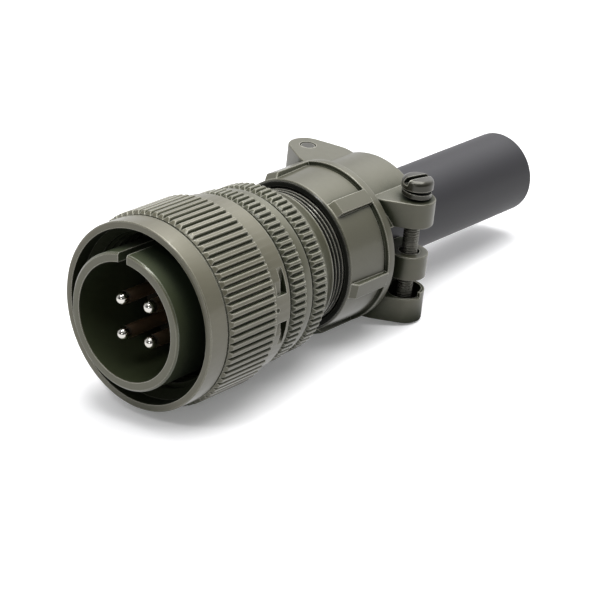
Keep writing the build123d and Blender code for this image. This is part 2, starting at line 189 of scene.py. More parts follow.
# %% Skins and prisms
def skinned(data, rings, name):
    """Joins a row of equal rings of vertices into one closed piece."""
    for before, after in zip(rings, rings[1:]):
        for i in range(len(before)):
            j = (i + 1) % len(before)
            data.faces.new((before[i], before[j], after[j], after[i]))
    data.faces.new(rings[0])
    data.faces.new(rings[-1])
    return finished(data, name)


def prism(name, plan, low, high, ease=0.0):
    """A straight prism in mm: plan is a convex list of (x, y), raised from low to high along z.
    ease rounds the edges round its two ends."""
    middle = Vector((sum(x for x, y in plan), sum(y for x, y in plan))) / len(plan)
    data = bmesh.new()
    steps = quarter_turn(3) if ease else [0.0]
    levels = [(low + ease * (1 - math.cos(a)), ease * (1 - math.sin(a))) for a in steps]
    levels += [(high - z + low, inset) for z, inset in reversed(levels)]
    rings = []
    for z, inset in levels:
        rings.append([])
        for x, y in plan:
            inward = (middle - Vector((x, y))).normalized() * inset
            rings[-1].append(data.verts.new(((x + inward.x) * MM, (y + inward.y) * MM, z * MM)))
    return skinned(data, rings, name)


print("a prism's soft edge takes", len(quarter_turn(3)), "rings of corners")

# %% Boxes, pillars, rods and balls
def box(x0, x1, y0, y1, z0, z1, ease=0.0):
    return prism("box", [(x0, y0), (x1, y0), (x1, y1), (x0, y1)], z0, z1, ease)


def pillar(x, y, radius, z0, z1, count=96, ease=0.0):
    plan = [(x + radius * math.cos(a), y + radius * math.sin(a)) for a in even_angles(count)]
    return prism("pillar", plan, z0, z1, ease)


def rod(radius, y0, y1, count=192):
    return lathe("rod", [(0, y0), (radius, y0), (radius, y1), (0, y1)], even_angles(count))


def shift(x, y, z):
    """The matrix of a move in mm."""
    return Matrix.Translation(Vector((x, y, z)) * MM)


def ball(x, y, radius):
    data = bmesh.new()
    bmesh.ops.create_uvsphere(data, u_segments=32, v_segments=16, radius=radius * MM)
    piece = finished(data, "ball")
    piece.data.transform(shift(x, y, 0))
    return piece


trial = box(0, 1, 0, 1, 0, 1, ease=0.2)
print("a box with soft ends has", len(trial.data.polygons), "faces")
bpy.data.objects.remove(trial)

# %% Cutting and joining
def applied(piece):
    """Bakes a piece's modifiers into its mesh."""
    graph = bpy.context.evaluated_depsgraph_get()
    graph.update()
    mesh = bpy.data.meshes.new_from_object(piece.evaluated_get(graph))
    piece.modifiers.clear()
    piece.data = mesh
    return piece


def combined(piece, other, operation):
    """DIFFERENCE, UNION or INTERSECT of two closed meshes; the second one is used up."""
    step = piece.modifiers.new(operation, "BOOLEAN")
    step.operation = operation
    step.solver = "MANIFOLD"
    step.object = other
    applied(piece)
    bpy.data.objects.remove(other)
    return piece


def cut(piece, *tools):
    for tool in tools:
        combined(piece, tool, "DIFFERENCE")
    return piece


def joined(piece, *others):
    for other in others:
        combined(piece, other, "UNION")
    return piece


trial = cut(box(0, 3, 0, 3, 0, 1), pillar(1.5, 1.5, 1, -1, 2, count=12))
print("a plate with a hole in it has", len(trial.data.vertices), "corners")
bpy.data.objects.remove(trial)

# %% Finishing and placing a piece
def crisp(piece, angle_deg=32):
    """Keeps hard edges hard and flat faces flat in a smooth mesh."""
    for polygon in piece.data.polygons:
        polygon.use_smooth = True
    piece.data.set_sharp_from_angle(angle=math.radians(angle_deg))
    weighted = piece.modifiers.new("flat faces stay flat", "WEIGHTED_NORMAL")
    weighted.keep_sharp = True
    return piece


def placed(piece, name, body, slot_name, material, *nodes):
    """Names a finished piece, lets it ride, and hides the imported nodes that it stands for."""
    piece.name = name
    piece.data.name = name
    piece.data.materials.clear()
    piece.data.materials.append(material)
    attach(piece, body)
    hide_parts(*nodes)
    print(name, len(piece.data.polygons), "faces")


print("this scene has", len(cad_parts), "packed nodes to stand in for")

# %% [markdown]
# ## Colour and nodes
# Colours are written as sRGB hex values, the way a paint chart gives them, and Blender's sockets
# want them linear. One function turns them. Nodes could be placed by hand in the shader editor,
# but written down they can be read and changed in one place. A second function adds one node with
# its settings and links, so that each material below reads as a short list.

# %% Material helpers
def linear(hex_colour):
    """An sRGB hex colour as linear red, green, blue and alpha."""
    channels = [int(hex_colour[i:i + 2], 16) / 255 for i in (1, 3, 5)]
    curved = [c / 12.92 if c <= 0.04045 else ((c + 0.055) / 1.055) ** 2.4 for c in channels]
    return (*curved, 1.0)


def connect(tree, node, links):
    """Feeds inputs of a node, by name or number, from outputs of others."""
    for key, source in links.items():
        tree.links.new(source, node.inputs[key])


def add_node(tree, kind, settings=None, links=None):
    """Adds a node. settings holds node properties and socket values by name or number; links maps
    an input of this node to an output of another."""
    node = tree.nodes.new(kind)
    for key, value in (settings or {}).items():
        if isinstance(key, str) and hasattr(node, key):
            setattr(node, key, value)
        else:
            node.inputs[key].default_value = value
    connect(tree, node, links or {})
    return node


def new_material(name, constants):
    """An empty node material with the constants of its Principled shader."""
    material = bpy.data.materials.new(name)
    material.use_nodes = True
    tree = material.node_tree
    shader = tree.nodes["Principled BSDF"]
    for socket, value in constants.items():
        shader.inputs[socket].default_value = value
    return material, tree, shader


WHITE = linear("#FFFFFF")
print("mid grey #808080 is", round(linear("#808080")[0], 3), "in linear light")

# %% [markdown]
# ## Olive drab plating
# The shells are aluminium, turned or die cast, with an olive drab cadmium plating. The plating is
# a thin, slightly translucent film, so it looks half like paint and half like metal: a brownish
# green with a broad satin highlight. A painted picture could give that, but it would need every
# piece unwrapped. Nodes that measure in millimetres fit all the pieces as they are.
#
# Two marks on it are painted light. Hollows between close faces get a painted shade, found
# by an ambient occlusion node: it tells how much of the surroundings a place can see. Sharp
# corners get a painted highlight, a pale line where an edge catches the light. A bevel node
# bends the normal near an edge, so an edge is where the bent normal leaves the true one. Only
# edges in the open get it.

# %% Painted shade in hollows and painted highlights on edges
# The colour of the painted shade in the hollows, and of the painted highlight on sharp edges.
hollow_shade_colour, edge_highlight_colour = "#697955", "#C4C2B4"
hollow_reach, edge_reach = 6.0 * MM, 0.3 * MM


def openness(tree):
    """How open a place lies: as the occlusion node sees it, and stretched from 0 to 1."""
    seen = add_node(tree, "ShaderNodeAmbientOcclusion", {"samples": 8, "Distance": hollow_reach})
    stretched = add_node(tree, "ShaderNodeMapRange", {"From Min": 0.5, "From Max": 0.92},
                         {"Value": seen.outputs["AO"]})
    return seen.outputs["AO"], stretched.outputs["Result"]


def edge_highlight_share(tree, seen):
    """Strength of the painted edge highlight: 0.8 on a sharp edge in the open, 0 on a flat face."""
    surface = add_node(tree, "ShaderNodeNewGeometry")
    corner = add_node(tree, "ShaderNodeBevel", {"samples": 6, "Radius": edge_reach})
    likeness = add_node(tree, "ShaderNodeVectorMath", {"operation": "DOT_PRODUCT"},
                        {0: surface.outputs["Normal"], 1: corner.outputs["Normal"]})
    edge_share = add_node(tree, "ShaderNodeMapRange",
                          {"From Min": 0.997, "From Max": 0.94, "To Min": 0.0, "To Max": 0.8},
                          {"Value": likeness.outputs["Value"]})
    # Only edges in the open get the painted highlight.
    open_enough = add_node(tree, "ShaderNodeMapRange", {"From Min": 0.15, "From Max": 0.45},
                       {"Value": seen})
    share = add_node(tree, "ShaderNodeMath", {"operation": "MULTIPLY"},
                     {0: edge_share.outputs["Result"], 1: open_enough.outputs["Result"]})
    return share.outputs[0]


# How far the painted shade and the painted edge highlights reach.
print("grime gathers within", hollow_reach / MM, "mm, edges wear within", edge_reach / MM, "mm")

# %% [markdown]
# ### Painted shade along the axis, and tool marks
# On the barrel, over the rear thread in the gap and on the clamp's front face the colour is
# darkened: a painted shade for places that little light reaches. A painted mask could mark such a
# zone, but it lies between two places on the axis, so the Y of the object coordinates can switch
# the colour, over a ramp that is short enough to look like an edge.
#
# A lathe leaves fine rings. Real ones stand about 0.05 mm apart, which is too fine to show, so
# they are drawn 0.12 mm apart: noise that is stretched right round, because it reads only the Y
# coordinate. Castings have a faint orange peel instead. Both are too shallow to show in an
# outline, so bump is enough for them.

# %% Painted shade between two places on the axis
shade_ramp = 0.2


def axis_shade_tone(tree, place, tone, front, rear, shade_colour):
    """Swaps a tone for a deeper one between two places on the axis, in mm: a painted shade."""
    station = add_node(tree, "ShaderNodeSeparateXYZ", {}, {"Vector": place.outputs["Object"]})
    begins = add_node(tree, "ShaderNodeMapRange",
                      {"From Min": front * MM, "From Max": (front + shade_ramp) * MM},
                      {"Value": station.outputs["Y"]})
    ends = add_node(tree, "ShaderNodeMapRange",
                    {"From Min": rear * MM, "From Max": (rear + shade_ramp) * MM,
                     "To Min": 1.0, "To Max": 0.0},
                    {"Value": station.outputs["Y"]})
    share = add_node(tree, "ShaderNodeMath", {"operation": "MULTIPLY"},
                     {0: begins.outputs["Result"], 1: ends.outputs["Result"]})
    shade_mix = add_node(tree, "ShaderNodeMix", {"data_type": "RGBA", 7: linear(shade_colour)},
                    {0: share.outputs[0], 6: tone})
    return shade_mix.outputs[2]


# How long the ramp of a painted shade is.
print("a sheltered tone sets in over", shade_ramp, "mm")

# %% Skin
def plated_skin(tree, place, peel_mm, ring_mm):
    """The bumps of the surface: orange peel, and tool rings where a spacing is given for them."""
    peel = add_node(tree, "ShaderNodeTexNoise", {"Scale": 1 / (peel_mm * MM), "Detail": 2.0},
                    {"Vector": place.outputs["Object"]})
    bump = add_node(tree, "ShaderNodeBump", {"Strength": 0.12, "Distance": 0.02 * MM},
                    {"Height": peel.outputs["Fac"]})
    if ring_mm:
        apart = add_node(tree, "ShaderNodeSeparateXYZ", {}, {"Vector": place.outputs["Object"]})
        along = add_node(tree, "ShaderNodeCombineXYZ", {}, {"Y": apart.outputs["Y"]})
        rings = add_node(tree, "ShaderNodeTexNoise", {"Scale": 1 / (ring_mm * MM), "Detail": 1.0},
                         {"Vector": along.outputs["Vector"]})
        bump = add_node(tree, "ShaderNodeBump", {"Strength": 0.1, "Distance": 0.01 * MM},
                        {"Height": rings.outputs["Fac"], "Normal": bump.outputs["Normal"]})
    return bump.outputs["Normal"]


ring_spacing_mm = 0.12
print("tool rings stand", ring_spacing_mm, "mm apart")

# %% [markdown]
# ### The plating put together
# Two near tones mix over patches of about 4 mm, as wear does. The painted shade of the hollows
# multiplies the colour and adds to the roughness, and the painted edge highlights come on top. The
# clear passivation over the plating works like a thin varnish, so it is a coat with a sharper gloss
# of its own, which fades in the hollows. A Metallic value of 0.35 lets some of the metal show
# through the film, and the IOR stays at Blender's default, as for any metal.

# %% Tone and gloss of the film
def shaded_and_highlighted_tone(tree, tone, seen, open_share):
    """A tone with painted shade in the hollows and painted highlights on its sharp edges."""
    # Painted shade: in the hollows the tone is multiplied towards a dark green.
    film = add_node(tree, "ShaderNodeMix", {"data_type": "RGBA", 6: linear(hollow_shade_colour), 7: WHITE},
                    {0: open_share})
    filmed = add_node(tree, "ShaderNodeMix",
                      {"data_type": "RGBA", "blend_type": "MULTIPLY", 0: 1.0},
                      {6: tone, 7: film.outputs[2]})
    # Painted highlight: sharp edges in the open turn pale.
    edge_highlighted = add_node(tree, "ShaderNodeMix", {"data_type": "RGBA", 7: linear(edge_highlight_colour)},
                    {0: edge_highlight_share(tree, seen), 6: filmed.outputs[2]})
    return edge_highlighted.outputs[2]


def uneven_roughness(tree, place, roughness, open_share):
    """A roughness that wanders over the surface and rises in the hollows."""
    haze_mm, most_dulling = 1.2, 0.4
    haze = add_node(tree, "ShaderNodeTexNoise", {"Scale": 1 / (haze_mm * MM), "Detail": 3.0},
                    {"Vector": place.outputs["Object"]})
    gloss = add_node(tree, "ShaderNodeMapRange",
                     {"To Min": roughness - 0.05, "To Max": roughness + 0.07},
                     {"Value": haze.outputs["Fac"]})
    dulling = add_node(tree, "ShaderNodeMapRange", {"To Min": most_dulling, "To Max": 0.0},
                       {"Value": open_share})
    rough = add_node(tree, "ShaderNodeMath", {"operation": "ADD"},
                     {0: gloss.outputs["Result"], 1: dulling.outputs["Result"]})
    return rough.outputs[0]


# The colours of the painted shade and of the painted edge highlight.
print("grime tints towards", hollow_shade_colour, "and rubbed edges towards", edge_highlight_colour)

# %% Plating
def plated(name, tones, roughness, ring_mm=None, peel_mm=0.35, metal=0.35, shaded=None):
    """The last argument is (front, rear, colour) of a zone on the axis that gets a painted shade.
    """
    material, tree, shader = new_material(name, {"Metallic": metal, "Coat Roughness": 0.16})
    patch_mm, most_coat = 4.0, 0.6
    place = add_node(tree, "ShaderNodeTexCoord")
    patches = add_node(tree, "ShaderNodeTexNoise",
                       {"Scale": 1 / (patch_mm * MM), "Detail": 4.0, "Roughness": 0.6},
                       {"Vector": place.outputs["Object"]})
    mixed = add_node(tree, "ShaderNodeMix",
                     {"data_type": "RGBA", 6: linear(tones[0]), 7: linear(tones[1])},
                     {0: patches.outputs["Fac"]})
    tone = mixed.outputs[2]
    if shaded:
        # A zone on the axis may get a painted shade.
        tone = axis_shade_tone(tree, place, tone, *shaded)
    seen, open_share = openness(tree)
    coat = add_node(tree, "ShaderNodeMath", {"operation": "MULTIPLY", 1: most_coat},
                    {0: open_share})
    connect(tree, shader, {
        "Base Color": shaded_and_highlighted_tone(tree, tone, seen, open_share),
        "Roughness": uneven_roughness(tree, place, roughness, open_share),
        "Coat Weight": coat.outputs[0],
        "Normal": plated_skin(tree, place, peel_mm, ring_mm),
    })
    print(name, "tones", *tones)
    return material


turned_look = {"tones": ("#605F4D", "#676653"), "roughness": 0.34, "ring_mm": ring_spacing_mm}
turned_plating = plated("olive_plating_turned", **turned_look)

# %% Plating of the nut, the castings and the screws
knurled_look = {"tones": ("#686552", "#6F6C5A"), "roughness": 0.34, "ring_mm": ring_spacing_mm}
cast_look = {"tones": ("#5B5A49", "#615F4F"), "roughness": 0.42, "peel_mm": 0.5}
screw_look = {"tones": ("#37352B", "#403E34"), "roughness": 0.3, "ring_mm": 0.2, "metal": 0.6}

nut_plating = plated("olive_plating_knurled", **knurled_look)
cast_plating = plated("olive_plating_cast", **cast_look)
screw_plating = plated("olive_plating_screw", **screw_look)

# %% [markdown]
# ## Silvered contacts
# The contacts are a copper alloy with a bright silver plating: a full metal with a low roughness,
# so that each domed tip holds one sharp glint. That alone would do for new ones. Silver tarnishes
# brown where nothing rubs against it, so a second, rougher tone takes over behind the tips, again
# by the Y coordinate.

# %% Silver
def silvered():
    material, tree, shader = new_material("silver_plated_contact", {"Metallic": 1.0})
    bright, tarnished, added_roughness = "#E4E1DA", "#A0866C", 0.35
    tip = corners_mm("contact_a")[0][1]
    clean_end, brown_start = tip + 1.2, tip + 2.2
    place = add_node(tree, "ShaderNodeTexCoord")
    tarnish = add_node(tree, "ShaderNodeTexNoise", {"Scale": 1 / (0.8 * MM), "Detail": 3.0},
                       {"Vector": place.outputs["Object"]})
    gloss = add_node(tree, "ShaderNodeMapRange", {"To Min": 0.08, "To Max": 0.2},
                     {"Value": tarnish.outputs["Fac"]})
    apart = add_node(tree, "ShaderNodeSeparateXYZ", {}, {"Vector": place.outputs["Object"]})
    shaft = add_node(tree, "ShaderNodeMapRange",
                     {"From Min": clean_end * MM, "From Max": brown_start * MM},
                     {"Value": apart.outputs["Y"]})
    tone = add_node(tree, "ShaderNodeMix",
                    {"data_type": "RGBA", 6: linear(bright), 7: linear(tarnished)},
                    {0: shaft.outputs["Result"]})
    dulled = add_node(tree, "ShaderNodeMath", {"operation": "MULTIPLY_ADD", 1: added_roughness},
                      {0: shaft.outputs["Result"], 2: gloss.outputs["Result"]})
    connect(tree, shader, {"Base Color": tone.outputs[2], "Roughness": dulled.outputs[0]})
    print("bright silver to", round(clean_end, 2), "mm, brown from", round(brown_start, 2), "mm")
    return material


contact_silver = silvered()

# %% [markdown]
# ## Moulded plastic, rubber and spring steel
# The insulator is moulded black plastic, smooth and a little glossy. The tube is extruded rubber
# with a dull skin, and the bloom on it gives a faint grey sheen in broad patches. The rings are
# drawn spring steel. One flat colour would make each look like a swatch, so every finish gets a
# noise of its own size: 0.3 mm grain, 5 mm bloom, 0.5 mm drawing marks.

# %% Moulded plastic
def moulded_black():
    material, tree, shader = new_material("moulded_black_insulator", {"Roughness": 0.4})
    place = add_node(tree, "ShaderNodeTexCoord")
    grain = add_node(tree, "ShaderNodeTexNoise", {"Scale": 1 / (0.3 * MM), "Detail": 3.0},
                     {"Vector": place.outputs["Object"]})
    tone = add_node(tree, "ShaderNodeMix",
                    {"data_type": "RGBA", 6: linear("#2C2922"), 7: linear("#3A352B")},
                    {0: grain.outputs["Fac"]})
    bump = add_node(tree, "ShaderNodeBump", {"Strength": 0.15, "Distance": 0.01 * MM},
                    {"Height": grain.outputs["Fac"]})
    connect(tree, shader, {"Base Color": tone.outputs[2], "Normal": bump.outputs["Normal"]})
    return material


insulator = moulded_black()
print("the insulator is", insulator.name)

# %% Rubber
def rubber(name, colour, dusty, roughness):
    material, tree, shader = new_material(
        name, {"Roughness": roughness, "Sheen Weight": 0.08, "Sheen Roughness": 0.5})
    place = add_node(tree, "ShaderNodeTexCoord")
    bloom = add_node(tree, "ShaderNodeTexNoise",
                     {"Scale": 1 / (5.0 * MM), "Detail": 5.0, "Roughness": 0.65},
                     {"Vector": place.outputs["Object"]})
    tone = add_node(tree, "ShaderNodeMix",
                    {"data_type": "RGBA", 6: linear(colour), 7: linear(dusty)},
                    {0: bloom.outputs["Fac"]})
    skin = add_node(tree, "ShaderNodeTexNoise", {"Scale": 1 / (0.25 * MM), "Detail": 2.0},
                    {"Vector": place.outputs["Object"]})
    bump = add_node(tree, "ShaderNodeBump", {"Strength": 0.2, "Distance": 0.02 * MM},
                    {"Height": skin.outputs["Fac"]})
    connect(tree, shader, {"Base Color": tone.outputs[2], "Normal": bump.outputs["Normal"]})
    return material


tube_rubber = rubber("extruded_black_rubber", "#1F1E22", "#27262B", 0.46)
seal_rubber = rubber("moulded_seal_rubber", "#17181A", "#1E1F21", 0.5)
print("the tube is", tube_rubber.name, "and the seal", seal_rubber.name)

# %% Spring steel
def spring_steel():
    material, tree, shader = new_material(
        "spring_steel", {"Base Color": linear("#9A9A96"), "Metallic": 1.0})
    place = add_node(tree, "ShaderNodeTexCoord")
    drawn = add_node(tree, "ShaderNodeTexNoise", {"Scale": 1 / (0.5 * MM), "Detail": 2.0},
                     {"Vector": place.outputs["Object"]})
    gloss = add_node(tree, "ShaderNodeMapRange", {"To Min": 0.25, "To Max": 0.4},
                     {"Value": drawn.outputs["Fac"]})
    connect(tree, shader, {"Roughness": gloss.outputs["Result"]})
    return material


ring_steel = spring_steel()
print(len(bpy.data.materials), "materials so far")

# %% [markdown]
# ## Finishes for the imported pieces
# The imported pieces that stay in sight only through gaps, such as the rings and the seal, keep
# their own plain meshes. They need nothing but a finish. The others get one too, so that a piece
# would look right even without its finer mesh.

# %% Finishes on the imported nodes
finishes = [
    (insulator, ("rear_insert", "front_insert")),
    (ring_steel, ("insert_retaining_ring", "nut_retaining_ring")),
    (seal_rubber, ("shell_seal",)),
    (turned_plating, ("front_shell", "back_shell", "coupling_nut")),
    (cast_plating, ("clamp_body", "upper_saddle", "lower_saddle")),
    (screw_plating, ("clamp_screw_right", "clamp_screw_left",
                     "lock_washer_right", "lock_washer_left")),
    (contact_silver, ("contact_a", "contact_b", "contact_c", "contact_d")),
    (tube_rubber, ("cable_bushing",)),
]
for finish, nodes in finishes:
    for node in nodes:
        node_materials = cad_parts[node].data.materials
        node_materials.clear()
        node_materials.append(finish)
    print(finish.name, "on", *nodes)

# %% [markdown]
# ## Knurls and threads
# A knurl is a profile round the axis: flat-topped ridges with V valleys, softened where they
# meet. A thread is the same idea along a helix: its height depends on how many pitches a point
# has gone along the axis and round it. Both could be cut out ridge by ridge, but that takes
# hundreds of cuts. A point of a lathe outline already knows its radius, its place and its angle,
# so one formula can press the profile into it instead. The columns stand closest where a ridge
# bends.

# %% The knurl's ridges
knurl_count = 76
knurl_depth = 0.62
nut_crest_share, ring_crest_share = 0.5, 0.42
nut_columns = (-0.46, -0.36, -0.27, -0.2, 0.2, 0.27, 0.36, 0.46, 0.5)
ring_columns = (-0.46, -0.34, -0.23, -0.16, 0.16, 0.23, 0.34, 0.46, 0.5)


def knurl_angles(columns):
    """The angles of all columns: each tooth has the same few, given as shares of its width."""
    return [FULL_TURN * (tooth + share) / knurl_count
            for tooth in range(knurl_count) for share in columns]


def soft_min(a, b, width):
    """The smaller of two values, rounded where they are nearly equal."""
    near = max(width - abs(a - b), 0.0)
    return min(a, b) - near * near / (4 * width)


def ridge_radius(angle, crest_r, crest_share):
    """The knurl's radius at an angle: a crest, two flanks and a valley for each tooth."""
    crest_softness = 0.25
    share = (angle * knurl_count / FULL_TURN + 0.5) % 1.0 - 0.5
    flank = (0.5 - abs(share)) / (0.5 - crest_share / 2)
    return crest_r - knurl_depth * (1 - soft_min(1.0, flank, crest_softness))


def knurled(crest_r, crest_share, y0, y1):
    """A shape for lathe: ridges between two stations, where the outline is above their roots."""
    def shape(radius, y, angle):
        if radius > crest_r - knurl_depth + HAIR and y0 < y < y1 + HAIR:
            return min(radius, ridge_radius(angle, crest_r, crest_share))
        return radius
    return shape


print(len(knurl_angles(nut_columns)), "columns round the nut")

# %% The knurl's outline, and threads
groove_depth = 0.3
ridge_front, ridge_rear = 0.6, 0.15
on_surface = 0.02


def knurled_band(crest_r, y0, y1, groove):
    """Outline of a knurled band: a plain groove, then the ridges' slope, crest and end."""
    root_r = crest_r - knurl_depth
    floor_r, front = root_r - groove_depth, y0 + groove
    rising = [(root_r + knurl_depth * k / 3, front + ridge_front * k / 3) for k in range(4)]
    falling = [(crest_r, y1 - ridge_rear), (crest_r - ridge_rear, y1), (root_r, y1)]
    return [(floor_r, y0), (floor_r, front)] + rising + falling


def thread_height(y, angle, pitch):
    """How high on a right-handed thread a point lies, from 0 at the root to 1 at the crest: a
    triangle wave, cut flat at both ends."""
    steepness, flat_root = 1.5, 0.25
    turn = (y / pitch + angle / FULL_TURN) % 1.0
    wave = 1 - abs(2 * turn - 1)
    return min(max(steepness * wave - flat_root, 0.0), 1.0)


half_turn_up = [round(thread_height(0, FULL_TURN * k / 8, 1.0), 2) for k in range(5)]
print("a thread's height over half a turn:", half_turn_up)

# %% [markdown]
# ## The coupling nut
# The nut pulls the plug on to its receptacle. From the front it has a flat lip, a plain
# counterbore with a lead-in cone, and the thread; outside, a smooth band, a groove, the knurl and
# a narrower collar. All of that is one outline on the lathe. The knurl and the thread share its
# columns, so the thread costs rows and nothing else.

# %% Sizes of the nut
edge, fine_edge, rounding = 0.35, 0.15, 0.12
nut_front, nut_rear, nut_crest_r = nut_low[1], nut_high[1], nut_high[0]
nut_bore_r = nut_crest_r - 3.35
nut_band_r = nut_crest_r - knurl_depth
nut_lip_r = nut_band_r - 1.3
nut_collar_r = nut_band_r - 0.45
mouth_rear = nut_front + 3.0
band_rear = nut_front + 4.3
nut_groove = 0.3
nut_knurl_rear = nut_rear - 4.8
thread_start = mouth_rear + nut_lip_r - nut_bore_r
relief_front, relief_rear, relief_r = nut_front + 12.7, nut_front + 14.3, nut_bore_r + 0.55
coupling_pitch, coupling_depth = 25.4 / 18, 0.75
print("nut: knurl radius", round(nut_crest_r, 2), "mm, bore radius", round(nut_bore_r, 2), "mm")

# %% The nut on the lathe
nut_outline = [
    (nut_lip_r, nut_front), (nut_band_r - fine_edge, nut_front),
    (nut_band_r, nut_front + fine_edge), (nut_band_r, band_rear - fine_edge),
    (nut_band_r - fine_edge, band_rear),
] + knurled_band(nut_crest_r, band_rear, nut_knurl_rear, nut_groove) + [
    (nut_collar_r, nut_knurl_rear), (nut_collar_r, nut_rear - fine_edge),
    (nut_collar_r - fine_edge, nut_rear), (nut_bore_r, nut_rear), (nut_bore_r, relief_rear),
    (relief_r, relief_rear), (relief_r, relief_front), (nut_bore_r, relief_front),
    (nut_bore_r, thread_start), (nut_lip_r, mouth_rear),
]
nut_knurl = knurled(nut_crest_r, nut_crest_share, band_rear + nut_groove / 2, nut_knurl_rear)


def nut_shape(radius, y, angle):
    """The thread in the bore, which fades in and out over one pitch, and the knurl outside."""
    if abs(radius - nut_bore_r) < on_surface and thread_start < y < relief_front:
        fade = min((y - thread_start) / coupling_pitch, (relief_front - y) / coupling_pitch, 1.0)
        return radius - coupling_depth * fade * thread_height(y, angle, coupling_pitch)
    return nut_knurl(radius, y, angle)


nut_rows = divided(eased(nut_outline, rounding), thread_start, relief_front, coupling_pitch / 8)
nut = lathe("nut", nut_rows, knurl_angles(nut_columns), nut_shape)
print("nut:", len(nut_rows), "rows")

# %% [markdown]
# ### The window for the wire ring
# A wire ring holds the nut on the shell. It is fed in through a window in the collar: a shallow
# flat, and in it two slots with a bridge left standing between them. Small holes at the bridge
# let the wire through, and a dimple marks the place. A window has straight sides, which a lathe
# can't make, so these are boxes taken out of the collar.

# %% Window and dimple
window_front, window_rear = nut_rear - 1.95, nut_rear - 0.8
window_floor = nut_bore_r + 0.7
flat_distance, flat_front = nut_collar_r - 0.75, window_front - 1.4
half_bridge, wire_opening = 2.5, 2.0
dimple_r, dimple_lift = 0.5, 0.2
beyond = nut_crest_r + 2

for z0, z1 in ((half_bridge, beyond), (-beyond, -half_bridge)):
    cut(nut, box(flat_distance, beyond, flat_front, window_rear, z0, z1))
    cut(nut, box(window_floor, beyond, window_front, window_rear, z0, z1))
for z0 in (half_bridge, -half_bridge - wire_opening):
    cut(nut, box(nut_bore_r / 2, beyond, window_front, window_rear, z0, z0 + wire_opening))
cut(nut, ball(nut_collar_r + dimple_lift, flat_front, dimple_r))
placed(crisp(nut), "coupling_nut_fine", "nut", "olive_nut", nut_plating, "coupling_nut")

# %% [markdown]
# ## Front shell
# The front shell is the plug's backbone: the barrel with its keyway, the journal that the nut
# turns on, a knurled flange and a smooth land behind it. The neck goes into the back shell and
# isn't seen. It is a turned part again, so it takes one outline, and only the keyway is cut. Its
# plating gets a painted shade on the barrel, a deeper tone.

# %% Sizes of the front shell
barrel_r, barrel_bore_r = 12.47, 10.75
insert_bore_r, insert_stop = barrel_bore_r + 0.85, 17.6
journal_r, journal_front = nut_bore_r - 0.05, relief_rear - 0.8
wire_y, wire_r = (window_front + window_rear) / 2, 0.5
flange_crest_r, neck_rear = corners_mm("front_shell")[1][:2]
flange_front, flange_groove = nut_rear + 0.35, 0.95
flange_rear = flange_front + 4.55
shell_joint = flange_rear + 2.35
land_r = flange_crest_r - 0.55
neck_r = insert_bore_r + 2.0
keyway_half, keyway_length = 1.0, 13.0
print("front shell: barrel radius", barrel_r, "mm, flange from", round(flange_front, 2), "mm")

# %% The front shell on the lathe
shell_outline = [
    (barrel_bore_r, 0), (barrel_r - edge, 0), (barrel_r, edge), (barrel_r, journal_front),
    (journal_r - edge, journal_front), (journal_r, journal_front + edge),
    (journal_r, wire_y - wire_r), (journal_r - wire_r, wire_y - wire_r),
    (journal_r - wire_r, wire_y + wire_r), (journal_r, wire_y + wire_r), (journal_r, flange_front),
] + knurled_band(flange_crest_r, flange_front, flange_rear, flange_groove) + [
    (land_r, flange_rear), (land_r, shell_joint - edge), (land_r - edge, shell_joint),
    (neck_r, shell_joint), (neck_r, neck_rear), (insert_bore_r, neck_rear),
    (insert_bore_r, insert_stop), (barrel_bore_r, insert_stop),
]
flange_knurl = knurled(flange_crest_r, ring_crest_share, flange_front + flange_groove / 2,
                       flange_rear)
shell = lathe("shell", eased(shell_outline, rounding), knurl_angles(ring_columns), flange_knurl)
cut(shell, box(-keyway_half, keyway_half, -PAST, keyway_length,
               barrel_bore_r - PAST, barrel_r + PAST))
# Painted shade: a deeper tone on the barrel, inside and out, between 0.1 and 16.5 mm on the axis.
barrel_inside_shade = (0.1, 16.5, "#454C35")
shell_plating = plated("olive_plating_barrel", **turned_look, shaded=barrel_inside_shade)
placed(crisp(shell), "front_shell_fine", "root", "olive_shell", shell_plating, "front_shell")

# %% [markdown]
# ## Insulator
# The insulator is a moulded block whose face closes the barrel. A contact passes through each of
# its four holes, which flare a little at the face. The holes could be left out, since the
# contacts fill them, but the thin shadow round each pin comes from them.

# %% Sizes of the insulator, and places of the contacts
insert_low, insert_high = corners_mm("front_insert")
insert_face, insert_rear, insert_r = insert_low[1], insert_high[1], insert_high[0]
contact_places = {}
for letter in "abcd":
    low, high = corners_mm("contact_" + letter)
    contact_places[letter] = ((low[0] + high[0]) / 2, (low[2] + high[2]) / 2)
contact_front, contact_rear = low[1], high[1]
pin_r, body_r, shoulder_r, cup_r, cup_bore_r = 1.18, 1.4, 1.75, 1.6, 1.15
shoulder_front, shoulder_rear = insert_face + 7.6, insert_face + 10.4
play, flare = 0.05, 0.3
print("contacts at", [(round(x, 2), round(z, 2)) for x, z in contact_places.values()], "mm")

# %% Insulator
face_r = barrel_bore_r - play
insert_outline = [
    (0, insert_face), (face_r - edge, insert_face), (face_r, insert_face + edge),
    (face_r, insert_stop), (insert_r, insert_stop), (insert_r, insert_rear), (0, insert_rear),
]
insulator_block = lathe("insulator", eased(insert_outline, rounding), even_angles(192))
hole_r, hole_shoulder_r = body_r + play, shoulder_r + play
hole_outline = [
    (0, insert_face - PAST), (hole_r + flare, insert_face - flare), (hole_r, insert_face),
    (hole_r, shoulder_front), (hole_shoulder_r, shoulder_front),
    (hole_shoulder_r, insert_rear + PAST), (0, insert_rear + PAST),
]
for x, z in contact_places.values():
    drill = lathe("drill", hole_outline, even_angles(48))
    drill.data.transform(shift(x, 0, z))
    cut(insulator_block, drill)
placed(crisp(insulator_block), "front_insert_fine", "root", "insert_black", insulator,
       "front_insert")

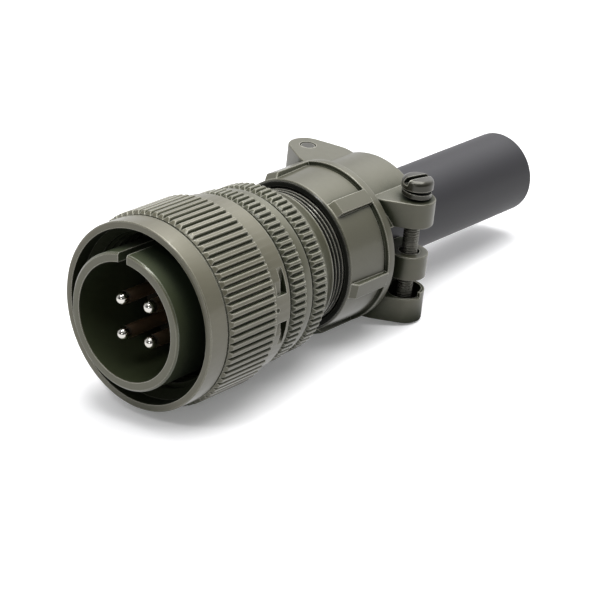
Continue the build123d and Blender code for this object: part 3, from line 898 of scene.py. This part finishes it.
# %% [markdown]
# ## Contacts
# Each contact is a turned pin with a domed tip. Its thicker body stands a hair proud of the
# insulator's face, a shoulder holds it inside, and a wire is soldered into the cup at its back,
# which is cut open on top. One outline makes all four. Being small and bright, the dome needs
# more steps than its size suggests.

# %% Contacts
proud, pin_rounding = 0.1, 0.06
cup_depth, cup_floor_depth, cup_window = 5.0, 5.6, 3.6
dome = [(pin_r * math.sin(a), contact_front + pin_r * (1 - math.cos(a))) for a in quarter_turn(12)]
contact_outline = dome + [
    (pin_r, insert_face - proud), (body_r, insert_face - proud), (body_r, shoulder_front),
    (shoulder_r, shoulder_front), (shoulder_r, shoulder_rear), (cup_r, shoulder_rear),
    (cup_r, contact_rear), (cup_bore_r, contact_rear), (cup_bore_r, contact_rear - cup_depth),
    (0, contact_rear - cup_floor_depth),
]
for letter, (x, z) in contact_places.items():
    contact = lathe("contact", eased(contact_outline, pin_rounding), even_angles(64))
    cut(contact, box(-2, 2, contact_rear - cup_window, contact_rear + PAST, cup_bore_r / 3, 2))
    contact.data.transform(shift(x, 0, z))
    placed(crisp(contact), "contact_fine_" + letter, "root", "contact_silver", contact_silver,
           "contact_" + letter)

# %% [markdown]
# ## Back shell
# The back shell has a second knurled grip, a cone down to the cable, and the thread that the
# clamp screws on. Only a few turns of it show, in the gap between the two, but they catch the
# light, so they are real rows of faces and no bump. The gap gets a painted shade: a dark tone.

# %% Sizes of the back shell
grip_crest_r, shell_rear = corners_mm("back_shell")[1][:2]
grip_rear, grip_groove = shell_joint + 3.65, 0.45
grip_root_r = grip_crest_r - knurl_depth
clamp_front = corners_mm("clamp_body")[0][1]
cone_rear = clamp_front - 3.75
thread_r, thread_pitch, thread_depth = 12.7, 0.94, 0.62
cone_rear_r, back_bore_r = thread_r + 0.65, thread_r - 2.0
socket_r, socket_rear = neck_r + play, neck_rear + 0.5
thread_front, thread_end = cone_rear + edge, clamp_front + 1.5
cone_lead, end_chamfer = 0.7, 0.8
print("back shell: thread from", round(thread_front, 2), "to", round(thread_end, 2), "mm")

# %% The back shell on the lathe
back_outline = [
    (socket_r, shell_joint),
] + knurled_band(grip_crest_r, shell_joint, grip_rear, grip_groove) + [
    (grip_root_r, grip_rear + cone_lead), (cone_rear_r, cone_rear), (cone_rear_r, thread_front),
    (thread_r, thread_front), (thread_r, thread_end), (thread_r, shell_rear - edge),
    (thread_r - end_chamfer, shell_rear), (back_bore_r, shell_rear), (back_bore_r, socket_rear),
    (socket_r, socket_rear),
]
grip_knurl = knurled(grip_crest_r, ring_crest_share, shell_joint + grip_groove / 2, grip_rear)


def back_shape(radius, y, angle):
    """The rear thread, which runs out over one pitch at both ends, and the grip's knurl."""
    if thread_r - on_surface < radius < cone_rear_r - 0.2 and y > thread_front - HAIR:
        run_out = min((y - thread_front) / thread_pitch, max(thread_end - y, 0) / thread_pitch, 1.0)
        return radius - thread_depth * (1 - run_out * thread_height(y, angle, thread_pitch))
    return grip_knurl(radius, y, angle)


back_rows = divided(eased(back_outline, rounding), thread_front, thread_end, thread_pitch / 8,
                    outer_than=thread_r - on_surface)
back = lathe("back", back_rows, knurl_angles(ring_columns), back_shape)
# Painted shade: a dark tone over the rear thread, which shows in the gap before the clamp.
gap_shade_colour = "#2F2E25"
thread_gap_shade = (thread_front, shell_rear, gap_shade_colour)
thread_plating = plated("olive_plating_thread", **turned_look, shaded=thread_gap_shade)
placed(crisp(back), "back_shell_fine", "root", "olive_shell", thread_plating, "back_shell")

# %% [markdown]
# ## Clamp body
# The clamp body is die cast. Its barrel has six flat ribs in two groups of three, with sloped
# front ends that start below the panels, and a rim behind them. Two arms reach back and end in
# ears, which the clamp screws pass through. The barrel is turned, and the ribs and arms are
# joined to it, each as its own closed solid. The clamp is modelled upright and then rolled about
# the axis to the angle at which it was screwed down: that way its cuts stay along the axes. Cuts
# that go right through end at far_x, far_y or far_z, which lie outside of everything.

# %% Sizes of the clamp, and its turns
clamp_roll = math.radians(7.5)
rim_front, rim_rear = shell_rear + 1.2, shell_rear + 3.2
panel_r, panel_rear_r, rib_r = thread_r + 1.7, thread_r + 2.0, thread_r + 2.7
rim_groove = 0.5
clamp_socket_r = thread_r + play
tube_r = tube_high[0]
passage_r = tube_r + 0.15
ear_x, ear_y = 13.1, rim_rear + 7.0
far_x, far_y, far_z = 30, 100, 10


def rolled(piece):
    piece.data.transform(Matrix.Rotation(clamp_roll, 4, "Y"))
    return piece


def half_turned(piece):
    piece.data.transform(Matrix.Rotation(math.pi, 4, "Y"))
    return piece


print("ears", ear_x, "mm off the axis, at", round(ear_y, 2), "mm")

# %% Ribs
rib_width, rib_soft, rib_ramp, rib_drop = 3.0, 0.18, 1.6, 1.5
rib_angles = [math.radians(side + 55.0 + 62.5 * k) for side in (0, 180) for k in (-1, 0, 1)]


def rib(angle):
    """A rib along the axis: one soft-cornered section, lifted up a ramp and then level."""
    half, soft, sunk = rib_width / 2, rib_soft, panel_r - 1.0
    stations = [(clamp_front, rib_r - rib_drop), (clamp_front + rib_ramp - 0.15, rib_r - 0.05),
                (clamp_front + rib_ramp, rib_r), (rim_front + 0.2, rib_r)]
    data = bmesh.new()
    rings = []
    for y, top in stations:
        section = [(-half, sunk), (half, sunk), (half, top - soft),
                   (half - soft / 3, top - soft / 3), (half - soft, top), (soft - half, top),
                   (soft / 3 - half, top - soft / 3), (-half, top - soft)]
        rings.append([data.verts.new((across * MM, y * MM, up * MM)) for across, up in section])
    piece = skinned(data, rings, "rib")
    piece.data.transform(Matrix.Rotation(math.pi / 2 - angle, 4, "Y"))
    return piece


print(len(rib_angles), "ribs,", rib_width, "mm wide")

# %% Clamp barrel and ribs
clamp_outline = [
    (clamp_socket_r + edge, clamp_front), (panel_r - edge, clamp_front),
    (panel_r, clamp_front + edge), (panel_rear_r, rim_front - rim_groove),
    (panel_rear_r - rim_groove, rim_front - rim_groove / 2), (panel_rear_r, rim_front),
    (rib_r, rim_front),
    (rib_r, rim_rear - edge), (rib_r - edge, rim_rear), (passage_r, rim_rear),
    (passage_r, shell_rear), (clamp_socket_r, shell_rear), (clamp_socket_r, clamp_front + edge),
]
clamp = lathe("clamp", eased(clamp_outline, 0.2), even_angles(288))
for angle in rib_angles:
    joined(clamp, rib(angle))
print("the clamp's barrel and ribs have", len(clamp.data.polygons), "faces")

# %% Arms and ears of the clamp
arm_low, arm_high, arm_rear, arm_ear_r = -4.1, 0.6, ear_y + 3.8, 3.6
arm_inner, arm_outer, arm_front = passage_r - 2, passage_r + 2.8, rim_rear - 1
arm_hole_r, arm_seat_r, arm_seat_depth = 1.6, 1.95, 0.8

for turned_over in (False, True):
    bar = [(arm_inner, arm_front), (arm_outer, arm_front), (arm_outer, arm_rear),
           (arm_inner, arm_rear)]
    arm = prism("arm", eased(bar, 0.5, turned=False), arm_low, arm_high, ease=0.25)
    web = box(passage_r, ear_x, ear_y - arm_ear_r, ear_y + arm_ear_r, arm_low, arm_high, ease=0.25)
    joined(arm, web, pillar(ear_x, ear_y, arm_ear_r, arm_low, arm_high, ease=0.25))
    cut(arm, rod(passage_r, 0, far_y), pillar(ear_x, ear_y, arm_hole_r, -far_z, far_z, 48),
        pillar(ear_x, ear_y, arm_seat_r, arm_high - arm_seat_depth, far_z, 64))
    joined(clamp, half_turned(arm) if turned_over else arm)
# Painted shade: a dark band on the clamp's front face.
clamp_front_shade = (clamp_front - 1.0, clamp_front + 0.1, gap_shade_colour)
clamp_plating = plated("olive_plating_clamp", **cast_look, shaded=clamp_front_shade)
placed(crisp(rolled(clamp)), "clamp_body_fine", "root", "olive_casting", clamp_plating,
       "clamp_body")

# %% [markdown]
# ## Saddles
# The two saddles squeeze the tube between them. Both are the same casting: a dome over a round
# arch, a wide ear for the screw's head on one side and a deeper, tapped ear on the other. The
# outline of an ear is the hull of two circles, which the casting's soft shape follows better than
# a box with rounded corners. One function casts a saddle, and the lower one is the upper one
# turned over.

# %% Ears
saddle_front, saddle_rear = rim_rear + 0.4, rim_rear + 11.9
plain_ear, plain_ear_height = 6.4, 5.0
tapped_ear, tapped_ear_height = 7.8, 4.95
ear_r, ear_root = 3.75, 7.75


def hull_plan(x0, y0, r0, x1, y1, r1, count=48):
    """The outline of a rubber band stretched round two circles, the first the larger."""
    heading = math.atan2(y1 - y0, x1 - x0)
    lean = math.acos((r0 - r1) / math.hypot(x1 - x0, y1 - y0))
    plan = []
    for x, y, radius, start, sweep in (
            (x1, y1, r1, heading - lean, 2 * lean),
            (x0, y0, r0, heading + lean, FULL_TURN - 2 * lean)):
        for k in range(count + 1):
            angle = start + sweep * k / count
            plan.append((x + radius * math.cos(angle), y + radius * math.sin(angle)))
    return plan


def ear(side, low, height):
    """An ear on one side of the saddle; side is 1 or -1."""
    middle = (saddle_front + saddle_rear) / 2
    root_r = (saddle_rear - saddle_front) / 2
    plan = hull_plan(side * ear_root, middle, root_r, side * ear_x, ear_y, ear_r)
    return prism("ear", plan, low, low + height, ease=0.3)


print("the plain ear starts", plain_ear, "mm above the axis, the tapped one", tapped_ear, "mm")

# %% Sizes of a saddle
dome_r = rib_r - 1.5
arch_r = tube_r + 0.3
skirt_half = arch_r + 1.36
casting_wall, screw_r = 2.2, 1.5
seat_r, seat_depth = 3.1, 2.2
skirt_height, overlap = 1.6, 1.0
head_ear_play, tapped_ear_play = 0.1, 0.05
print("dome radius", round(dome_r, 2), "mm, arch radius", round(arch_r, 2), "mm")

# %% Saddles
def saddle():
    """A saddle, upright: dome, skirt and ears are joined, then the arch, the hollow, the tapped
    ear's raised edge, the screw holes and the seat follow."""
    round_end = [(0, saddle_front), (dome_r, saddle_front), (dome_r, saddle_rear), (0, saddle_rear)]
    casting = lathe("saddle", eased(round_end, 0.5), even_angles(256))
    cut(casting, box(-far_x, far_x, 0, far_y, -far_x, plain_ear))
    joined(casting, box(-skirt_half, skirt_half, saddle_front, saddle_rear,
                        plain_ear - skirt_height, plain_ear + overlap, ease=0.2))
    joined(casting, ear(1, plain_ear, plain_ear_height), ear(-1, tapped_ear, tapped_ear_height))
    cut(casting, box(-far_x, -skirt_half, 0, far_y, -far_x, tapped_ear))
    cut(casting, rod(arch_r, 0, far_y))
    hollow = rod(dome_r - casting_wall, saddle_front + casting_wall, saddle_rear - casting_wall)
    half_hollow = skirt_half - casting_wall
    combined(hollow, box(-half_hollow, half_hollow, 0, far_y, 0, far_x), "INTERSECT")
    cut(casting, hollow)
    raised_edge = pillar(-ear_x, ear_y, ear_r, tapped_ear - 1.0, tapped_ear + overlap, ease=0.15)
    joined(casting, cut(raised_edge, box(-far_x, 0, 0, ear_y, 0, far_x)))
    cut(casting, pillar(ear_x, ear_y, screw_r + head_ear_play, 0, far_x, 48),
        pillar(-ear_x, ear_y, screw_r + tapped_ear_play, 0, far_x, 48))
    return cut(casting, pillar(-ear_x, ear_y, seat_r, 0, tapped_ear + seat_depth, 64))


for name, casting in (("upper_saddle", saddle()), ("lower_saddle", half_turned(saddle()))):
    placed(crisp(rolled(casting)), name + "_fine", name + "_body", "olive_casting", cast_plating,
           name)

# %% [markdown]
# ## Clamp screws and washers
# A screw draws the saddles together through each pair of ears. It is turned about its own axis,
# threaded along the shank, slotted across its domed head, and then stood up in its ear. Its
# thread is fine, but it stands free between the saddles, where bump would look flat, so it is
# real too.

# %% Sizes of the screws
coil_thickness, coil_rise, coil_gap = 1.0, 0.95, 0.02
ear_top = plain_ear + plain_ear_height
washer_top = ear_top + coil_thickness + coil_rise + 2 * coil_gap
head_r, head_top, head_soft, head_edge = 3.0, washer_top + 2.05, 1.0, 0.12
screw_tip, tip_chamfer = 0.1 - (tapped_ear + tapped_ear_height), 0.2
screw_pitch, screw_depth = 0.5, 0.16
slot_width, slot_depth, slot_turn = 1.2, 1.1, math.radians(14)
print("screws are", round(head_top - screw_tip, 2), "mm long")

# %% A clamp screw
def screw_shape(radius, y, angle):
    if abs(radius - screw_r) < on_surface:
        return radius - screw_depth * (1 - thread_height(y, angle, screw_pitch))
    return radius


def clamp_screw():
    """A screw in its ear: turned and threaded along Y, stood up, then slotted."""
    soft_head = [(head_r - head_soft * (1 - math.cos(a)), head_top - head_soft * (1 - math.sin(a)))
                 for a in quarter_turn(6)]
    outline = [
        (0, screw_tip), (screw_r - tip_chamfer, screw_tip), (screw_r, screw_tip + tip_chamfer),
        (screw_r, washer_top - 0.3), (screw_r - 0.1, washer_top), (head_r - head_edge, washer_top),
        (head_r, washer_top + head_edge),
    ] + soft_head + [(0, head_top + 0.05)]
    rows = divided(outline, screw_tip + 0.3, washer_top - 0.2, screw_pitch / 6)
    screw = lathe("screw", rows, even_angles(64), screw_shape)
    screw.data.transform(shift(ear_x, ear_y, 0) @ Matrix.Rotation(math.pi / 2, 4, "X"))
    slot = box(-slot_width / 2, slot_width / 2, -5, 5, head_top - slot_depth, head_top + 5)
    slot.data.transform(shift(ear_x, ear_y, 0) @ Matrix.Rotation(-slot_turn, 4, "Z"))
    return cut(screw, slot)


print("the thread has", round((washer_top - screw_tip) / screw_pitch), "turns at most")

# %% [markdown]
# ### Lock washers
# The spring washer under each head is one open coil of square wire. Blender's Screw modifier
# could wind it, but its two cut ends would stay open, and they show. Here a soft section is
# carried up a helix by hand and closed at both ends. It winds the other way from the screw's
# thread and climbs by almost its own thickness.

# %% Lock washers, and placing both
washer_inner, washer_outer, wire_soft = screw_r + 0.1, 2.8, 0.2
washer_steps, washer_turn, washer_start = 90, 0.95, math.radians(121)


def lock_washer():
    """A spring washer round the screw, between the ear and the head."""
    section = eased([(washer_inner, 0), (washer_outer, 0), (washer_outer, coil_thickness),
                     (washer_inner, coil_thickness)], wire_soft, turned=False)
    data = bmesh.new()
    rings = []
    for k in range(washer_steps + 1):
        angle = washer_start - FULL_TURN * washer_turn * k / washer_steps
        lift = ear_top + coil_gap + coil_rise * k / washer_steps
        rings.append([data.verts.new(((ear_x + r * math.cos(angle)) * MM,
                                      (ear_y + r * math.sin(angle)) * MM, (lift + z) * MM))
                      for r, z in section])
    return skinned(data, rings, "washer")


for side, turned_over in (("right", False), ("left", True)):
    for maker, name in ((clamp_screw, "clamp_screw_"), (lock_washer, "lock_washer_")):
        piece = half_turned(maker()) if turned_over else maker()
        placed(crisp(rolled(piece)), name + "fine_" + side, side + "_screw", "screw_steel",
               screw_plating, name + side)

# %% [markdown]
# ## Rubber tube
# The tube keeps the cable from bending sharply where it leaves the clamp. It is a plain extrusion
# with a cut end, so four points on the lathe are enough. Its corners are barely broken, as rubber
# cut with a blade is.

# %% Rubber tube
tube_bore_r = 5.55
tube_front, tube_rear = tube_low[1], tube_high[1]
tube_outline = [(tube_bore_r, tube_front), (tube_r, tube_front), (tube_r, tube_rear),
                (tube_bore_r, tube_rear)]
tube = lathe("tube", eased(tube_outline, 0.4, steps=6), even_angles(192))
placed(crisp(tube), "cable_bushing_fine", "root", "bushing_rubber", tube_rubber, "cable_bushing")

# %% [markdown]
# ## The table
# The plug rests on the nut and on the clamp's rim, so the table is a plane that touches both: it
# rises towards the cable in the plug's own frame. A plane with the plug turned down on to it
# would do as well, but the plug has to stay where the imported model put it.
#
# A white tabletop in full light would throw that light back up, while in the photograph the
# underside is dark. So its paint is a mid grey to every ray but the camera's. To the camera it is
# white, and in mirrors it glows at about white: a light path node tells which ray asks.

# %% Table top
rest_radius_front, rest_y_front = nut_crest_r, nut_knurl_rear - ridge_rear
rest_radius_rear, rest_y_rear = rib_r, rim_rear - edge
slope = math.atan2(rest_radius_front - rest_radius_rear, rest_y_rear - rest_y_front)
half_size, drop = 3.0, 0.05

table_mesh = bpy.data.meshes.new("table")
table_corners = [(x * half_size, y * half_size, 0) for x, y in ((-1, -1), (1, -1), (1, 1), (-1, 1))]
table_mesh.from_pydata(table_corners, [], [(0, 1, 2, 3)])
table = bpy.data.objects.new("table", table_mesh)
bpy.context.scene.collection.objects.link(table)
table.rotation_euler = (slope, 0, 0)
touch = Vector((0, rest_y_front, -rest_radius_front)) * MM
table.location = touch - Vector((0, -math.sin(slope), math.cos(slope))) * drop * MM
print("the table rises by", round(math.degrees(slope), 2), "degrees")

# %% Table paint
camera_glow, mirror_glow = 0.17, 0.7
paint, tree, shader = new_material("white_table", {
    "Roughness": 0.9, "Specular IOR Level": 0.1, "Emission Color": WHITE})
path = add_node(tree, "ShaderNodeLightPath")
mirrored = add_node(tree, "ShaderNodeMath", {"operation": "MAXIMUM"},
                    {0: path.outputs["Is Glossy Ray"], 1: path.outputs["Is Transmission Ray"]})
tone = add_node(tree, "ShaderNodeMix",
                {"data_type": "RGBA", 6: linear("#808082"), 7: linear("#FAFAFB")},
                {0: path.outputs["Is Camera Ray"]})
in_mirrors = add_node(tree, "ShaderNodeMath", {"operation": "MULTIPLY", 1: mirror_glow},
                      {0: mirrored.outputs[0]})
glow = add_node(tree, "ShaderNodeMath", {"operation": "MULTIPLY_ADD", 1: camera_glow},
                {0: path.outputs["Is Camera Ray"], 2: in_mirrors.outputs[0]})
connect(tree, shader, {"Base Color": tone.outputs[2], "Emission Strength": glow.outputs[0]})
table_mesh.materials.append(paint)
print("the tabletop glows", camera_glow, "to the camera and", mirror_glow, "in mirrors")

# %% [markdown]
# ## The room
# The photograph looks as if it was taken in a white tent. Metal shows whatever stands round it, so
# the room matters as much as the lamps. A picture of a studio could wrap the world, but three
# smooth ramps say what is needed: a pale wall that gets darker towards the camera's side, an even
# ceiling, and a bright panel high behind the plug, which draws a sheen along the top of every
# turned part.

# %% Wall and ceiling
world = bpy.data.worlds.new("studio")
bpy.context.scene.world = world
world.use_nodes = True
tree = world.node_tree
tree.nodes.clear()

dark_side = Vector((0.64, -0.77, 0.0))
wall_bright, wall_dark, ceiling_level = 0.8, 0.06, 0.45
place = add_node(tree, "ShaderNodeTexCoord")
apart = add_node(tree, "ShaderNodeSeparateXYZ", {}, {"Vector": place.outputs["Generated"]})
facing = add_node(tree, "ShaderNodeVectorMath", {"operation": "DOT_PRODUCT", 1: dark_side},
                  {0: place.outputs["Generated"]})
wall = add_node(tree, "ShaderNodeMapRange",
                {"From Min": -0.5, "From Max": 0.5, "To Min": wall_bright, "To Max": wall_dark},
                {"Value": facing.outputs["Value"]})
height = add_node(tree, "ShaderNodeMapRange", {"From Min": 0.3, "From Max": 0.9},
                  {"Value": apart.outputs["Z"]})
tent = add_node(tree, "ShaderNodeMix", {"data_type": "FLOAT", 3: ceiling_level},
                {0: height.outputs["Result"], 2: wall.outputs["Result"]})
print("the wall's light goes from", wall_dark, "to", wall_bright)

# %% Bright panel, and the world put together
panel_side, panel_level = Vector((-0.06, 0.75, 0.66)), 0.9
behind = add_node(tree, "ShaderNodeVectorMath", {"operation": "DOT_PRODUCT", 1: panel_side},
                  {0: place.outputs["Generated"]})
panel = add_node(tree, "ShaderNodeMapRange",
                 {"From Min": 0.84, "From Max": 0.97, "To Min": 0.0, "To Max": panel_level},
                 {"Value": behind.outputs["Value"]})
total = add_node(tree, "ShaderNodeMath", {"operation": "ADD"},
                 {0: tent.outputs[0], 1: panel.outputs["Result"]})
room = add_node(tree, "ShaderNodeBackground", {"Color": linear("#FDFDFF")},
                {"Strength": total.outputs[0]})
add_node(tree, "ShaderNodeOutputWorld", {}, {"Surface": room.outputs[0]})
print("the panel adds", panel_level)

# %% [markdown]
# ## The lamps
# One large soft lamp hangs overhead and gives the broad light and the soft shadow. A small lamp
# in front puts a glint on each contact's tip, and a card low at the front lifts the face of the
# nut. A sun lamp would be simpler, but its hard shadows don't belong in a tent.

# %% Lamps
def softbox(name, place_mm, aim_mm, size_mm, power):
    """A rectangular lamp that looks from one place to another; power is in watts."""
    lamp_data = bpy.data.lights.new(name, "AREA")
    lamp_data.shape = "RECTANGLE"
    lamp_data.size, lamp_data.size_y = (v * MM for v in size_mm)
    lamp_data.energy = power
    lamp = bpy.data.objects.new(name, lamp_data)
    lamp.location = Vector(place_mm) * MM
    lamp.rotation_euler = (Vector(aim_mm) - Vector(place_mm)).to_track_quat("-Z", "Y").to_euler()
    bpy.context.scene.collection.objects.link(lamp)
    print(name, power, "W")


barrel_face, plug_middle = (0, 0, 0), (0, 45, 0)
softbox("overhead_softbox", (30, 90, 560), plug_middle, (620, 480), 4.5)
softbox("front_lamp", (0, -320, 480), plug_middle, (120, 70), 0.5)
softbox("low_card", (150, -420, 110), barrel_face, (80, 50), 0.15)

# %% [markdown]
# ## The camera
# The photograph was taken with a long lens from the front right, a little above. These values
# were fitted to the ellipses of the barrel, the nut, the shells and the tube: their widths tell
# how near the camera stood, and their tilts tell where. Standard is the plain view transform,
# which shows a colour as it is written.

# %% Camera
camera_data = bpy.data.cameras.new("camera")
camera_data.sensor_width = 36.0
camera_data.lens = 156.0
camera = bpy.data.objects.new("camera", camera_data)
camera.location = Vector((288.6, -297.0, 162.0)) * MM
view_direction = Vector((-0.6006, 0.7154, -0.357))
camera.rotation_euler = view_direction.to_track_quat("-Z", "Y").to_euler()
bpy.context.scene.collection.objects.link(camera)
bpy.context.scene.camera = camera
bpy.context.scene.view_settings.view_transform = "Standard"
print("camera", round(camera.location.length / MM), "mm from the barrel's face")
